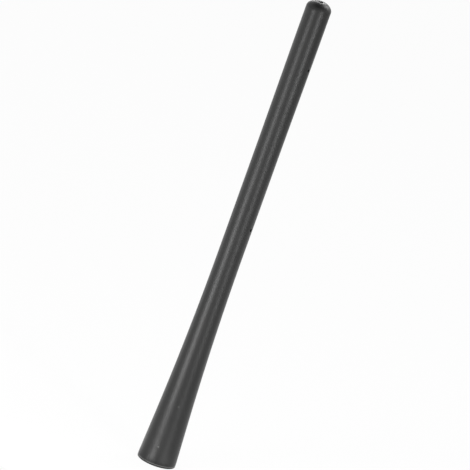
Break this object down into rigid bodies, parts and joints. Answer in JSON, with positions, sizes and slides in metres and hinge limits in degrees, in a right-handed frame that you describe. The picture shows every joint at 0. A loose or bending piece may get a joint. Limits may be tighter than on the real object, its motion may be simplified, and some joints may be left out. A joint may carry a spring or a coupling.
{
  "type": "dab antenna mast",
  "caption": "Short screw-on rubber antenna mast with a flared foot, a domed tip and a threaded metal insert in its base.",
  "frame": {"origin": "centre of the rubber seal face at the foot", "axes": "+Z along the mast's axis from the seal face to the tip; +X through the mould's pin holes"},
  "size_m": [0.0158, 0.0158, 0.1999],
  "materials": {
    "rubber": "satin moulded rubber with a fine matt grain",
    "plated_brass": "turned and nickel-plated",
    "glass_fibre": "ground glass-fibre rod, pale straw",
    "copper_wire": "enamelled copper wire",
    "solder": "bright tin solder",
    "shrink_film": "black heat-shrink tubing",
    "plug_plastic": "black moulded nylon"
  },
  "bodies": {
    "root": {"rubber_sheath": "rubber", "threaded_ferrule": "plated_brass", "core_rod": "glass_fibre", "antenna_coil": "copper_wire", "solder_joint": "solder", "shrink_sleeve": "shrink_film", "tip_plug": "plug_plastic"}
  },
  "joints": []
}
